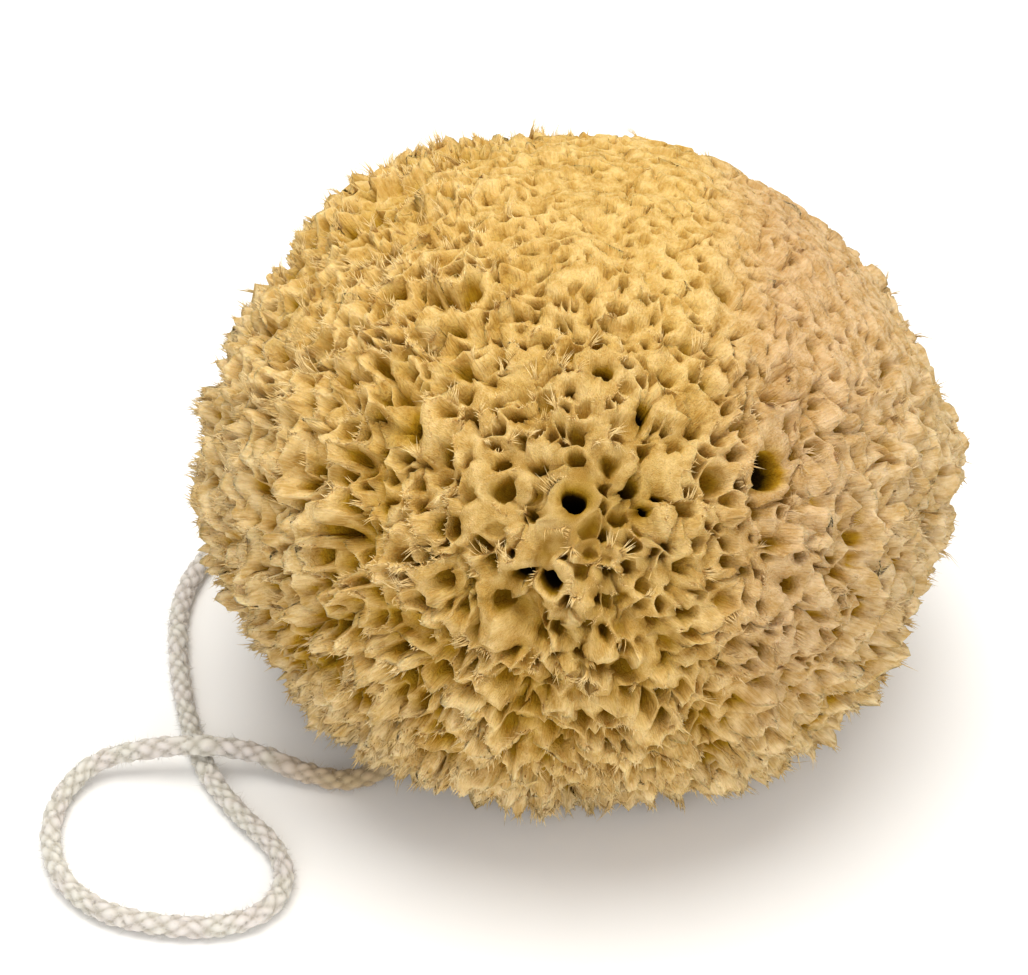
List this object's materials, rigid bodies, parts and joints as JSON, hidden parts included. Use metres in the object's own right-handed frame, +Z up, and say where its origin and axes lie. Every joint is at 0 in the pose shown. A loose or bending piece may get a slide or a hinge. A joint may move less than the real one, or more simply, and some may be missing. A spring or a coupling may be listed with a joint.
{
  "type": "sea sponge",
  "caption": "Round natural bath sponge with open pores and frayed tufts, resting on a flat cut base, with a loop of white braided cotton cord threaded through it.",
  "frame": {"origin": "middle of the flat cut base, on the surface that the sponge rests on", "axes": "+Z up out of the base, +X along the sponge's widest side and away from the cord's loop, -Y to the front, where the large holes are"},
  "size_m": [0.1663, 0.1445, 0.1057],
  "materials": {
    "sponge_fibre": "soft, matt, felted natural fibre",
    "braided_cotton": "matt white braided cotton"
  },
  "bodies": {
    "root": {"sponge": "sponge_fibre", "cord": "braided_cotton"}
  },
  "joints": []
}
